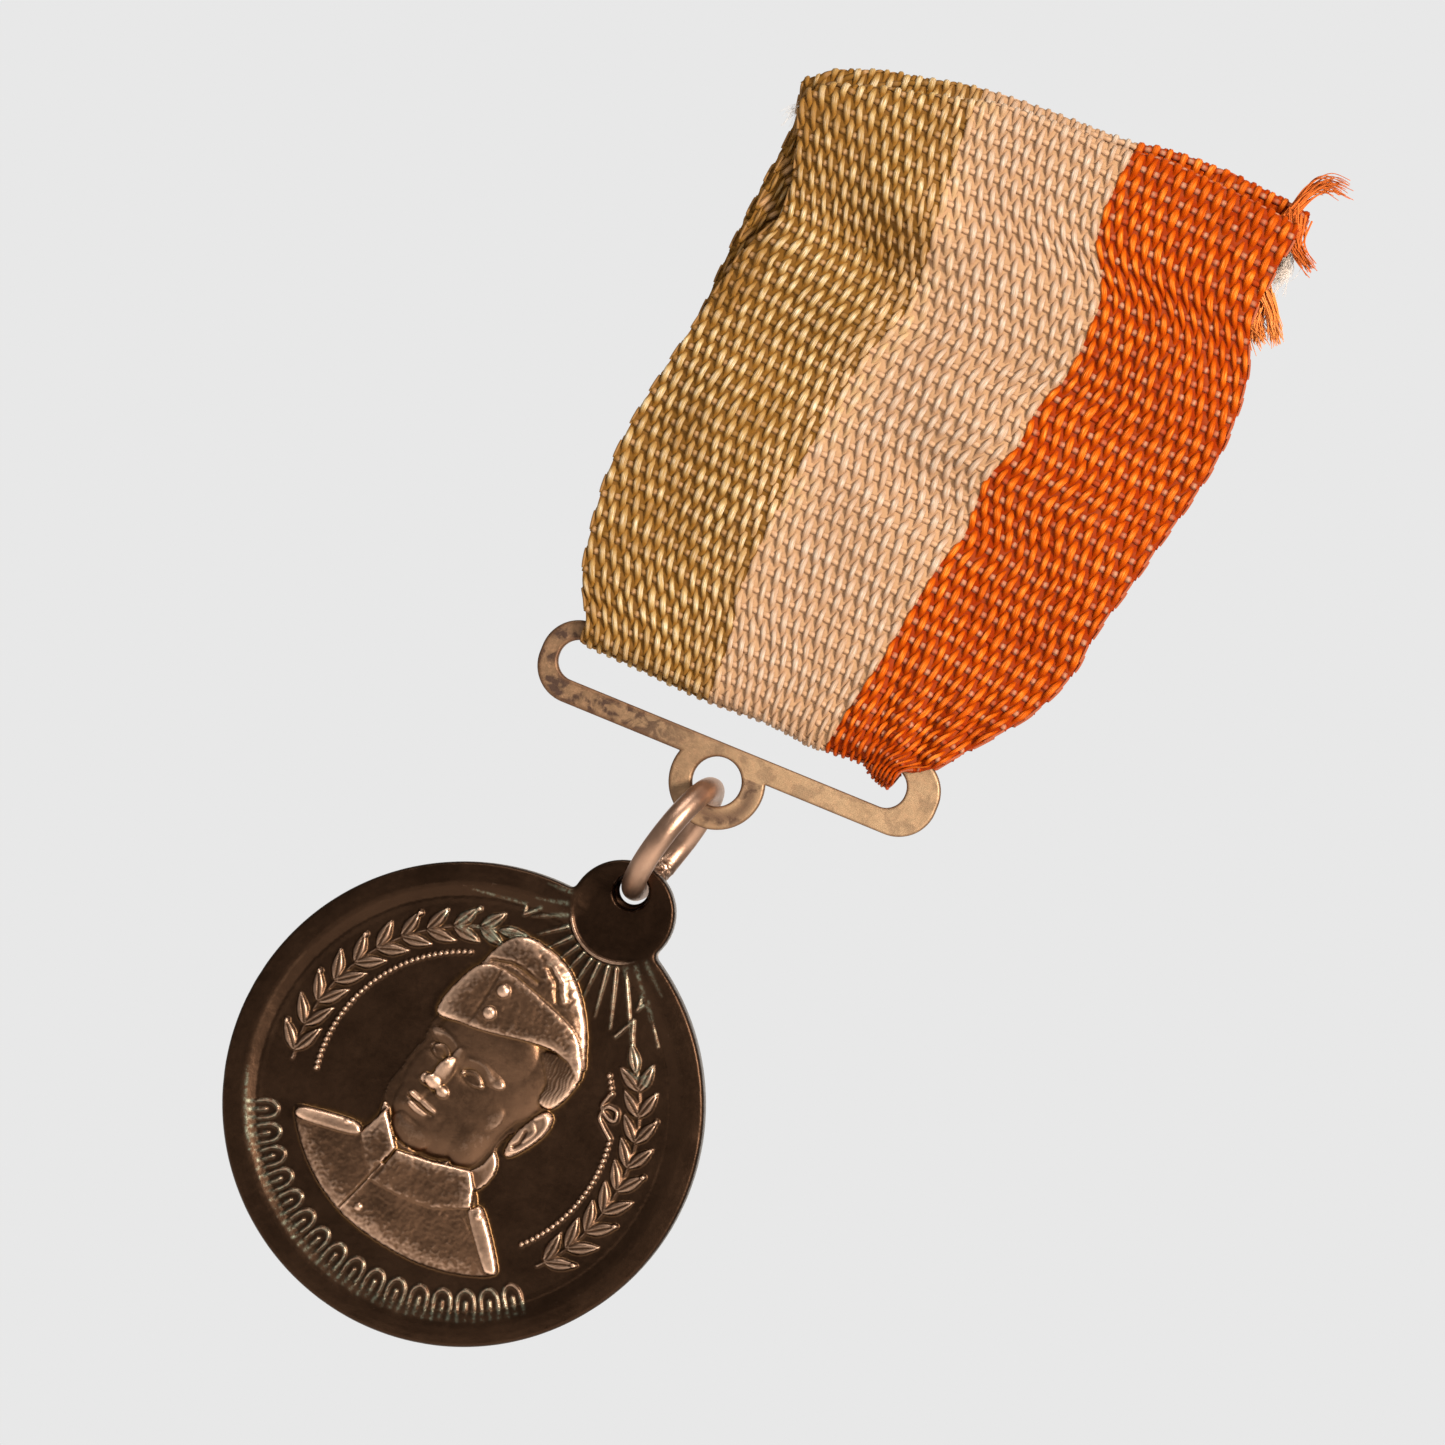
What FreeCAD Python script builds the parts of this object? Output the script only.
import FreeCAD, Part

import math
import os

import Sketcher

# A round service medal on a folded ribbon, hanging upright as it is worn.
# Millimetres. +Z is up, the struck front faces -Y and +X is to the right as it is looked at.
# The origin is the middle of the brooch needle's shaft, where the medal is held to a garment.

DOC = FreeCAD.newDocument("service_medal")
V = FreeCAD.Vector
X_AXIS, Y_AXIS, Z_AXIS = V(1, 0, 0), V(0, 1, 0), V(0, 0, 1)

DIMENSIONS = {
    # ribbon: one woven strip, looped round the bar, both ends tucked inside at the top
    "ribbon_thick": 0.45,
    "ribbon_loop_bore": 0.85,      # radius of the loop's inside, round the bar's top rail
    "ribbon_fold_bore": 0.05,      # radius of the inside of each top fold
    "ribbon_centre_depth": -4.0,   # mid plane of the loop
    "ribbon_tuck": 12.0,           # length of each tucked end
    # threads that close the top, in a row that rises with the folds
    "closing_count": 9,
    "closing_left": -13.0,
    "closing_pitch": 3.2,
    "closing_level": 0.6,
    "closing_rise": 0.61,          # from each thread to the next
    # suspension bar, measured from the centre of its lug hole
    "bar_thick": 0.8,
    "bar_width": 27.4,
    "bar_low": 0.96,
    "bar_high": 6.40,
    "bar_corner": 2.5,
    "bar_slot_low": 2.46,
    "bar_slot_high": 5.12,
    "bar_slot_left": 12.5,
    "bar_slot_right": 11.5,
    "bar_lug_radius": 3.1,
    "bar_hole_radius": 1.6,
    "bar_hole_side": -2.39,
    "bar_hole_level": -40.2,
    "bar_lean": -3.7,              # degrees about +Y, the right end stands higher
    # jump ring
    "wire_radius": 0.76,
    "ring_radius": 4.045,
    "ring_seat": 0.60,             # how far the wire's centre lies below the bar's hole centre
    "ring_lean": 11.55,
    "ring_twist": 5.0,
    # medal disc, struck in one piece with its lug
    "hole_pitch": 8.94,            # bar hole to medal hole
    "medal_lean": 14.0,
    "disc_radius": 15.55,
    "disc_half": 1.0,
    "rim_inner": 14.1,
    "rim_bevel": 0.2,
    "field_radius": 13.3,
    "field_half": 0.62,
    "lug_level": 16.0,
    "lug_radius": 3.4,
    "lug_thick": 1.4,
    "lug_hole_side": -0.38,
    "lug_hole_level": 17.4,
    "lug_hole_radius": 1.22,
    # brooch on the ribbon's back
    "plate_length": 29.0,
    "plate_height": 5.6,
    "plate_thick": 0.5,
    "plate_corner": 1.6,
    "plate_front": -2.65,
    "stitch_hole_radius": 0.3,
    "stitch_pitch": 8.6,
    "stitch_half": 1.3,
    "stitch_count": 4,
    "thread_radius": 0.16,
    "pivot_side": 9.5,
    "eye_radius": 1.05,
    "eye_thick": 1.0,
    "eye_bore": 0.45,
    "rivet_radius": 0.40,
    "rivet_head_radius": 0.75,
    "rivet_head_thick": 0.25,
    "ear_gap": 1.2,
    "ear_thick": 0.4,
    "ear_width": 2.4,
    "foot_length": 3.4,
    "foot_thick": 0.4,
    "needle_radius": 0.45,
    "needle_tip": 4.0,
    "needle_reach": 12.0,
    "catch_side": -9.5,
    "catch_width": 1.6,
    "catch_radius": 1.0,
    "catch_bore": 0.65,
    "catch_mouth": 1.12,
    "catch_stem": 1.0,
}


def make_sheet(values):
    """Driving dimensions, one aliased cell each."""
    table = DOC.addObject("Spreadsheet::Sheet", "Sheet")
    for row, (alias, value) in enumerate(values.items(), start=1):
        table.set("A%d" % row, alias)
        table.set("B%d" % row, str(value))
        table.setAlias("B%d" % row, alias)
    DOC.recompute()
    return table


SHEET = make_sheet(DIMENSIONS)
NODES = {}


def dim(alias):
    return float(getattr(SHEET, alias))


def bind(obj, **expressions):
    """Bind properties of an object to expressions on the sheet's aliases."""
    for prop, text in expressions.items():
        obj.setExpression(prop, text.replace("$", "Sheet."))


def node(obj, label, placement=None):
    """Name a finished sub-part and put it in its place."""
    obj.Label = label
    if placement is not None:
        obj.Placement = placement
    NODES[label] = obj
    return obj


def primitive(kind, name, place=None, turn=(0, 0, 1, 0), **expressions):
    """A Part primitive with bound sizes; place is up to three bound coordinates."""
    obj = DOC.addObject("Part::" + kind, name)
    axis = V(*turn[:3])
    obj.Placement = FreeCAD.Placement(V(0, 0, 0), FreeCAD.Rotation(axis, turn[3]))
    bind(obj, **expressions)
    for letter, text in zip("xyz", place or ()):
        if text:
            obj.setExpression("Placement.Base." + letter, text.replace("$", "Sheet."))
    return obj


def fused(name, *shapes):
    obj = DOC.addObject("Part::MultiFuse", name)
    obj.Shapes = list(shapes)
    obj.Refine = True
    return obj


def cut(name, base, tool):
    obj = DOC.addObject("Part::Cut", name)
    obj.Base, obj.Tool = base, tool
    obj.Refine = True
    return obj


def body_sketch(body, name, role="XY_Plane"):
    """A sketch on one of the body's own origin planes."""
    plane = [f for f in body.Origin.OriginFeatures if f.Role == role][0]
    sketch = body.newObject("Sketcher::SketchObject", name)
    sketch.AttachmentSupport = [(plane, "")]
    sketch.MapMode = "FlatFace"
    return sketch


def constrain(sketch, name, text, *spec):
    """One dimensional constraint bound to the sheet."""
    index = sketch.addConstraint(Sketcher.Constraint(*spec))
    sketch.renameConstraint(index, name)
    sketch.setExpression("Constraints." + name, text.replace("$", "Sheet."))


def rectangle(sketch, left, right, low, high):
    """A rectangle whose four sides are bound, as distances from the sketch's origin."""
    corners = [V(-10, -2, 0), V(10, -2, 0), V(10, 2, 0), V(-10, 2, 0)]
    first = sketch.GeometryCount
    for i in range(4):
        sketch.addGeometry(Part.LineSegment(corners[i], corners[(i + 1) % 4]), False)
    for i in range(4):
        follower = first + (i + 1) % 4
        sketch.addConstraint(Sketcher.Constraint("Coincident", first + i, 2, follower, 1))
        kind = "Horizontal" if i % 2 == 0 else "Vertical"
        sketch.addConstraint(Sketcher.Constraint(kind, first + i))
    constrain(sketch, "left", left, "DistanceX", -1, 1, first + 3, 2, -10.0)
    constrain(sketch, "right", right, "DistanceX", -1, 1, first + 1, 1, 10.0)
    constrain(sketch, "low", low, "DistanceY", -1, 1, first, 1, -2.0)
    constrain(sketch, "high", high, "DistanceY", -1, 1, first + 2, 1, 2.0)


def circle(sketch, name, across, up, radius):
    """A circle with bound centre and radius."""
    index = sketch.addGeometry(Part.Circle(V(1, 1, 0), Z_AXIS, 1.0), False)
    constrain(sketch, name + "_across", across, "DistanceX", -1, 1, index, 3, 1.0)
    constrain(sketch, name + "_up", up, "DistanceY", -1, 1, index, 3, 1.0)
    constrain(sketch, name + "_radius", radius, "Radius", index, 1.0)


def stadium(sketch, left, right, low, high):
    """A round-ended slot, bound at its four sides."""
    top = sketch.addGeometry(Part.LineSegment(V(-8, 2, 0), V(8, 2, 0)), False)
    bottom = sketch.addGeometry(Part.LineSegment(V(8, 0, 0), V(-8, 0, 0)), False)
    ends = []
    for centre, start in ((V(8, 1, 0), -90), (V(-8, 1, 0), 90)):
        arc = Part.ArcOfCircle(Part.Circle(centre, Z_AXIS, 1.0),
                               math.radians(start), math.radians(start + 180))
        ends.append(sketch.addGeometry(arc, False))
    joints = ((top, 2, ends[0], 2), (bottom, 1, ends[0], 1),
              (bottom, 2, ends[1], 2), (top, 1, ends[1], 1))
    for first, first_end, second, second_end in joints:
        sketch.addConstraint(
            Sketcher.Constraint("Tangent", first, first_end, second, second_end))
    sketch.addConstraint(Sketcher.Constraint("Horizontal", top))
    sketch.addConstraint(Sketcher.Constraint("Horizontal", bottom))
    constrain(sketch, "low", low, "DistanceY", -1, 1, bottom, 1, 0.0)
    constrain(sketch, "high", high, "DistanceY", -1, 1, top, 1, 2.0)
    middle = "($bar_slot_high - $bar_slot_low) / 2"
    constrain(sketch, "left", "%s + %s" % (left, middle), "DistanceX", -1, 1, ends[1], 3, -8.0)
    constrain(sketch, "right", "%s - %s" % (right, middle), "DistanceX", -1, 1, ends[0], 3, 8.0)


def pad(body, name, sketch, length):
    """A pad of the whole length, half to each side of the sketch."""
    feature = body.newObject("PartDesign::Pad", name)
    feature.Profile = sketch
    feature.Midplane = True
    bind(feature, Length=length)
    DOC.recompute()
    return feature


def pocket(body, name, sketch):
    """A pocket right through, both ways; it has to take some material away."""
    before = body.Shape.Volume
    feature = body.newObject("PartDesign::Pocket", name)
    feature.Profile = sketch
    feature.Midplane = True
    feature.Type = 1
    DOC.recompute()
    if body.Shape.Volume >= before:
        raise RuntimeError(name + " cuts nothing")
    return feature


def upright(x, y, z, lean=0.0):
    """Stand a plate drawn on XY upright, its drawn face to the front, leaning about +Y."""
    stand = FreeCAD.Rotation(X_AXIS, 90)
    return FreeCAD.Placement(V(x, y, z), FreeCAD.Rotation(Y_AXIS, lean).multiply(stand))


def hang(start, lean, length):
    """The point that lies length below start along a line leaning about +Y."""
    angle = math.radians(lean)
    return start + V(-math.sin(angle), 0, -math.cos(angle)) * length


DEPTH = dim("ribbon_centre_depth")
BAR_HOLE = V(dim("bar_hole_side"), DEPTH, dim("bar_hole_level"))
RAIL_HEIGHT = (dim("bar_slot_high") + dim("bar_high")) / 2
RAIL = hang(BAR_HOLE, dim("bar_lean"), -RAIL_HEIGHT)
MEDAL_HOLE = hang(BAR_HOLE, dim("ring_lean"), dim("hole_pitch"))


# ---- ribbon -------------------------------------------------------------------------------

# height of the rear fold's crest across the ribbon, and how much lower the front one is
CREST = {-19.0: 3.0, -10.0: 6.2, 0.0: 8.0, 10.0: 9.2, 19.0: 8.8}
FRONT_DROP = {-19.0: 1.5, -10.0: 1.1, 0.0: 0.7, 10.0: 0.6, 19.0: 0.6}
# the strip's two edges as it is looked at, from the top to the loop
LEFT_EDGE = [(-16.9, 12.0), (-17.1, 3.0), (-16.6, -9.5), (-16.7, -17.0), (-17.2, -24.5),
             (-16.6, -30.5), (-14.15, -34.2), (-14.1, -38.0)]
RIGHT_EDGE = [(15.9, 12.0), (15.7, 3.0), (17.2, -7.5), (16.4, -14.5), (15.1, -21.5),
              (13.0, -28.6), (8.4, -32.5), (8.2, -38.0)]


def rail_level(x):
    return RAIL.z - (x - RAIL.x) * math.tan(math.radians(dim("bar_lean")))


def half_turn(x, y, z, radius, way):
    """A half circle in the plane of X: way 1 passes over the top, -1 under the bottom."""
    points = [V(x, y - radius, z), V(x, y, z + way * radius), V(x, y + radius, z)]
    return Part.Arc(*points).toShape()


def strip_section(x):
    """The folded strip cut across its width: tuck, front layer, loop, rear layer, tuck."""
    thick, bore, fold = dim("ribbon_thick"), dim("ribbon_loop_bore"), dim("ribbon_fold_bore")
    rear = CREST[x] - fold - thick
    front = rear - FRONT_DROP[x]
    loop = rail_level(x)
    front_mid = DEPTH - bore + fold
    rear_mid = DEPTH + bore - fold

    def line(y, low, high):
        return Part.LineSegment(V(x, y, low), V(x, y, high)).toShape()

    def across(y, width, z):
        return Part.LineSegment(V(x, y, z), V(x, y + width, z)).toShape()

    front_end = front - dim("ribbon_tuck")
    rear_end = rear - dim("ribbon_tuck")
    edges = [
        line(front_mid + fold, front_end, front),
        half_turn(x, front_mid, front, fold, 1),
        line(DEPTH - bore, front, loop),
        half_turn(x, DEPTH, loop, bore, -1),
        line(DEPTH + bore, loop, rear),
        half_turn(x, rear_mid, rear, fold, 1),
        line(rear_mid - fold, rear, rear_end),
        across(rear_mid - fold - thick, thick, rear_end),
        line(rear_mid - fold - thick, rear_end, rear),
        half_turn(x, rear_mid, rear, fold + thick, 1),
        line(DEPTH + bore + thick, rear, loop),
        half_turn(x, DEPTH, loop, bore + thick, -1),
        line(DEPTH - bore - thick, loop, front),
        half_turn(x, front_mid, front, fold + thick, 1),
        line(front_mid + fold + thick, front, front_end),
        across(front_mid + fold, thick, front_end),
    ]
    return Part.Wire(Part.__sortEdges__(edges))


TRIM_FRONT, TRIM_BACK = -20, 20      # well clear of the strip, before and behind


def silhouette():
    """The ribbon's outline from the front, thick enough to trim the whole strip."""
    sides = []
    for points in (LEFT_EDGE, RIGHT_EDGE):
        curve = Part.BSplineCurve()
        curve.interpolate([V(x, TRIM_FRONT, z) for x, z in points])
        sides.append(curve.toShape())
    left, right = LEFT_EDGE, RIGHT_EDGE
    ends = [Part.LineSegment(V(left[i][0], TRIM_FRONT, left[i][1]),
                             V(right[i][0], TRIM_FRONT, right[i][1])).toShape()
            for i in (0, -1)]
    outline = Part.Wire(Part.__sortEdges__(sides + ends))
    return Part.Face(outline).extrude(V(0, TRIM_BACK - TRIM_FRONT, 0))


def make_ribbon():
    strip = Part.makeLoft([strip_section(x) for x in sorted(CREST)], True, True)
    ribbon = DOC.addObject("Part::Feature", "ribbon_strip")
    ribbon.Shape = strip.common(silhouette()).Solids[0]
    node(ribbon, "ribbon")


def thread(points):
    """A stitch: a thread of round section along a polyline with small round corners."""
    radius = dim("thread_radius")
    wire = Part.makePolygon(points)
    profile = Part.Wire(Part.makeCircle(radius, points[0], points[1] - points[0]))
    return wire.makePipeShell([profile], True, False, 2)


def make_closing_stitches():
    """Short threads that join the two tucked ends inside, below the top folds."""
    thick, bore, fold = dim("ribbon_thick"), dim("ribbon_loop_bore"), dim("ribbon_fold_bore")
    reach = bore - 2 * fold - thick / 2
    stitches = []
    for i in range(int(dim("closing_count"))):
        x = dim("closing_left") + i * dim("closing_pitch")
        z = dim("closing_level") + i * dim("closing_rise")
        stitches.append(Part.makeCylinder(dim("thread_radius"), 2 * reach,
                                          V(x, DEPTH - reach, z), Y_AXIS))
    obj = DOC.addObject("Part::Feature", "closing_threads")
    obj.Shape = Part.makeCompound(stitches)
    node(obj, "closing_stitches")


# ---- suspension bar, ring and medal -------------------------------------------------------

def make_bar():
    body = DOC.addObject("PartDesign::Body", "bar_body")
    outline = body_sketch(body, "bar_outline")
    rectangle(outline, "-$bar_width / 2", "$bar_width / 2", "$bar_low", "$bar_high")
    frame = pad(body, "bar_frame", outline, "$bar_thick")

    corners = body.newObject("PartDesign::Fillet", "bar_corners")
    upright_edges = [i for i, e in enumerate(frame.Shape.Edges, start=1)
                     if abs(e.tangentAt(e.FirstParameter).z) > 0.99]
    corners.Base = (frame, ["Edge%d" % i for i in upright_edges])
    bind(corners, Radius="$bar_corner")
    DOC.recompute()

    lug = body_sketch(body, "bar_lug_outline")
    circle(lug, "lug", "0", "0", "$bar_lug_radius")
    pad(body, "bar_lug", lug, "$bar_thick")

    slot = body_sketch(body, "bar_slot_outline")
    stadium(slot, "-$bar_slot_left", "$bar_slot_right", "$bar_slot_low", "$bar_slot_high")
    pocket(body, "bar_slot", slot)

    hole = body_sketch(body, "bar_hole_outline")
    circle(hole, "hole", "0", "0", "$bar_hole_radius")
    pocket(body, "bar_hole", hole)
    node(body, "suspension_bar", upright(*BAR_HOLE, dim("bar_lean")))


def make_ring():
    ring = primitive("Torus", "ring_wire", Radius1="$ring_radius", Radius2="$wire_radius")
    centre = hang(BAR_HOLE, dim("ring_lean"), dim("ring_seat") + dim("ring_radius"))
    lean = FreeCAD.Rotation(Y_AXIS, dim("ring_lean"))
    twist = FreeCAD.Rotation(Z_AXIS, -dim("ring_twist"))
    across = FreeCAD.Rotation(Y_AXIS, 90)
    turn = lean.multiply(twist).multiply(across)
    node(ring, "jump_ring", FreeCAD.Placement(centre, turn))


def make_medal():
    body = DOC.addObject("PartDesign::Body", "medal_body")
    half = body_sketch(body, "disc_half_section", "XZ_Plane")
    names = ["centre", "field", "rim_foot", "rim_top", "rim_edge"]
    reach = ["0", "$field_radius", "$rim_inner", "$disc_radius - $rim_bevel", "$disc_radius"]
    height = ["$field_half", "$field_half", "$disc_half", "$disc_half",
              "$disc_half - $rim_bevel"]
    drawn = [V(0, 1, 0), V(6, 1, 0), V(8, 2, 0), V(10, 2, 0), V(11, 1.5, 0)]
    mirrored = [V(p.x, -p.y, 0) for p in reversed(drawn)]
    outline = drawn + mirrored
    for i, point in enumerate(outline):
        half.addGeometry(Part.LineSegment(point, outline[(i + 1) % len(outline)]), False)
    for i in range(len(outline)):
        follower = (i + 1) % len(outline)
        half.addConstraint(Sketcher.Constraint("Coincident", i, 2, follower, 1))
    for i, name in enumerate(names):
        twin = len(outline) - 1 - i
        for line, side, sign in ((i, "front", ""), (twin, "back", "-")):
            constrain(half, "%s_%s_reach" % (name, side), reach[i],
                      "DistanceX", -1, 1, line, 1, outline[line].x)
            constrain(half, "%s_%s_height" % (name, side), "%s(%s)" % (sign, height[i]),
                      "DistanceY", -1, 1, line, 1, outline[line].y)
    disc = body.newObject("PartDesign::Revolution", "disc")
    disc.Profile = half
    disc.ReferenceAxis = (half, ["V_Axis"])
    disc.Angle = 360
    DOC.recompute()

    lug = body_sketch(body, "lug_outline")
    circle(lug, "lug", "0", "$lug_level", "$lug_radius")
    pad(body, "lug", lug, "$lug_thick")

    hole = body_sketch(body, "lug_hole_outline")
    circle(hole, "hole", "$lug_hole_side", "$lug_hole_level", "$lug_hole_radius")
    pocket(body, "lug_hole", hole)

    place = upright(0, 0, 0, dim("medal_lean"))
    offset = place.multVec(V(dim("lug_hole_side"), dim("lug_hole_level"), 0))
    place.Base = MEDAL_HOLE - offset
    node(body, "medal_disc", place)


# ---- brooch on the ribbon's back ----------------------------------------------------------

def make_plate():
    body = DOC.addObject("PartDesign::Body", "plate_body")
    outline = body_sketch(body, "plate_outline")
    rectangle(outline, "-$plate_length / 2", "$plate_length / 2",
              "-$plate_height / 2", "$plate_height / 2")
    sheet_metal = pad(body, "plate_sheet", outline, "$plate_thick")

    corners = body.newObject("PartDesign::Fillet", "plate_corners")
    upright_edges = [i for i, e in enumerate(sheet_metal.Shape.Edges, start=1)
                     if abs(e.tangentAt(e.FirstParameter).z) > 0.99]
    corners.Base = (sheet_metal, ["Edge%d" % i for i in upright_edges])
    bind(corners, Radius="$plate_corner")
    DOC.recompute()

    holes = body_sketch(body, "stitch_hole_outline")
    first = "-$stitch_pitch * ($stitch_count - 1) / 2"
    circle(holes, "lower", first, "-$stitch_half", "$stitch_hole_radius")
    circle(holes, "upper", first, "$stitch_half", "$stitch_hole_radius")
    pair = pocket(body, "stitch_holes", holes)

    before = body.Shape.Volume
    row = body.newObject("PartDesign::LinearPattern", "stitch_hole_row")
    row.Originals = [pair]
    row.Direction = (holes, ["H_Axis"])
    bind(row, Length="$stitch_pitch * ($stitch_count - 1)", Occurrences="$stitch_count")
    body.Tip = row
    DOC.recompute()
    if body.Shape.Volume >= before:
        raise RuntimeError("the row of stitch holes is not cut")
    middle = dim("plate_front") + dim("plate_thick") / 2
    node(body, "brooch_plate", upright(0, middle, 0))


def make_brooch_stitches():
    """Threads over the plate's back, down through its holes and into the rear layer."""
    over = dim("plate_front") + dim("plate_thick") + dim("thread_radius")
    inside = DEPTH + dim("ribbon_loop_bore") + dim("ribbon_thick") / 2
    half = dim("stitch_half")
    count = int(dim("stitch_count"))
    stitches = []
    for i in range(count):
        x = (i - (count - 1) / 2) * dim("stitch_pitch")
        stitches.append(thread([V(x, inside, -half), V(x, over, -half),
                                V(x, over, half), V(x, inside, half)]))
    obj = DOC.addObject("Part::Feature", "brooch_threads")
    obj.Shape = Part.makeCompound(stitches)
    node(obj, "brooch_stitches")


BACK = "($plate_front + $plate_thick)"


def make_hinge():
    """A folded bracket: a foot on the plate and two ears that hold the rivet."""
    foot = primitive("Box", "hinge_foot", Length="$foot_length", Width="$foot_thick",
                     Height="$ear_gap + 2 * $ear_thick",
                     place=("$pivot_side - $foot_length / 2", BACK,
                            "-$ear_gap / 2 - $ear_thick"))
    solids = [foot]
    for name, low in (("lower", "-$ear_gap / 2 - $ear_thick"), ("upper", "$ear_gap / 2")):
        web = primitive("Box", name + "_ear_web", Length="$ear_width", Height="$ear_thick",
                        Width="-" + BACK,
                        place=("$pivot_side - $ear_width / 2", BACK, low))
        crown = primitive("Cylinder", name + "_ear_crown", Radius="$ear_width / 2",
                          Height="$ear_thick", place=("$pivot_side", "", low))
        solids += [web, crown]
    bore = primitive("Cylinder", "hinge_bore", Radius="$rivet_radius",
                     Height="$ear_gap + 2 * $ear_thick",
                     place=("$pivot_side", "", "-$ear_gap / 2 - $ear_thick"))
    node(cut("hinge_bracket", fused("hinge_blank", *solids), bore), "brooch_hinge")


def make_rivet():
    outer = "($ear_gap / 2 + $ear_thick)"
    shank = primitive("Cylinder", "rivet_shank", Radius="$rivet_radius",
                      Height="2 * " + outer, place=("$pivot_side", "", "-" + outer))
    lower = primitive("Cylinder", "rivet_lower_head", Radius="$rivet_head_radius",
                      Height="$rivet_head_thick",
                      place=("$pivot_side", "", "-%s - $rivet_head_thick" % outer))
    upper = primitive("Cylinder", "rivet_upper_head", Radius="$rivet_head_radius",
                      Height="$rivet_head_thick", place=("$pivot_side", "", outer))
    node(fused("rivet", shank, lower, upper), "hinge_rivet")


def make_catch():
    """A hook on a stem, open to the rear so that the needle can swing out of it."""
    left = "$catch_side - $catch_width / 2"
    stem = primitive("Box", "catch_stem", Length="$catch_width", Height="$catch_stem",
                     Width="-%s - $catch_bore" % BACK, place=(left, BACK, "-$catch_stem / 2"))
    foot = primitive("Box", "catch_foot", Length="$foot_length", Height="$foot_length",
                     Width="$foot_thick",
                     place=("$catch_side - $foot_length / 2", BACK, "-$foot_length / 2"))
    along_x = (0, 1, 0, 90)
    hook = primitive("Cylinder", "catch_hook", place=(left,), turn=along_x,
                     Radius="$catch_radius", Height="$catch_width")
    bore = primitive("Cylinder", "catch_bore_hole", place=(left,), turn=along_x,
                     Radius="$catch_bore", Height="$catch_width")
    mouth = primitive("Box", "catch_mouth_gap", Length="$catch_width", Height="$catch_mouth",
                      Width="2 * $catch_radius", place=(left, "", "-$catch_mouth / 2"))
    blank = fused("catch_blank", stem, foot, hook)
    node(cut("catch", blank, fused("catch_gap", bore, mouth)), "pin_catch")


def make_needle():
    """A round needle with a flat eye at one end, running on the hinge's rivet."""
    along_minus_x = (0, 1, 0, -90)
    eye = primitive("Cylinder", "needle_eye", Radius="$eye_radius", Height="$eye_thick",
                    place=("$pivot_side", "", "-$eye_thick / 2"))
    shaft = primitive("Cylinder", "needle_shaft", turn=along_minus_x, place=("$pivot_side",),
                      Radius="$needle_radius",
                      Height="$pivot_side + $needle_reach - $needle_tip")
    tip = primitive("Cone", "needle_tip", turn=along_minus_x,
                    place=("$needle_tip - $needle_reach",),
                    Radius1="$needle_radius", Radius2="$needle_radius / 6",
                    Height="$needle_tip")
    bore = primitive("Cylinder", "needle_bore", Radius="$eye_bore", Height="$eye_thick",
                     place=("$pivot_side", "", "-$eye_thick / 2"))
    node(cut("needle", fused("needle_blank", eye, shaft, tip), bore), "brooch_pin")


def check_and_export():
    """Stop on any failed object or bad shape, then write one STEP file a node."""
    DOC.recompute()
    for obj in DOC.Objects:
        if "Invalid" in obj.State or "Error" in obj.State:
            raise RuntimeError("%s failed: %s" % (obj.Name, obj.State))
    for label, obj in NODES.items():
        if obj.Shape.isNull() or not obj.Shape.isValid() or not obj.Shape.Solids:
            raise RuntimeError(label + " has no valid solid")
    os.makedirs("parts", exist_ok=True)
    for label, obj in NODES.items():
        obj.Shape.exportStep("parts/%s.step" % label)
        box = obj.Shape.BoundBox
        print("%-18s %8.1f mm3  x %6.2f %6.2f  y %6.2f %6.2f  z %6.2f %6.2f" % (
            label, obj.Shape.Volume, box.XMin, box.XMax, box.YMin, box.YMax,
            box.ZMin, box.ZMax))


make_ribbon()
make_closing_stitches()
make_bar()
make_ring()
make_medal()
make_plate()
make_brooch_stitches()
make_hinge()
make_rivet()
make_catch()
make_needle()
check_and_export()
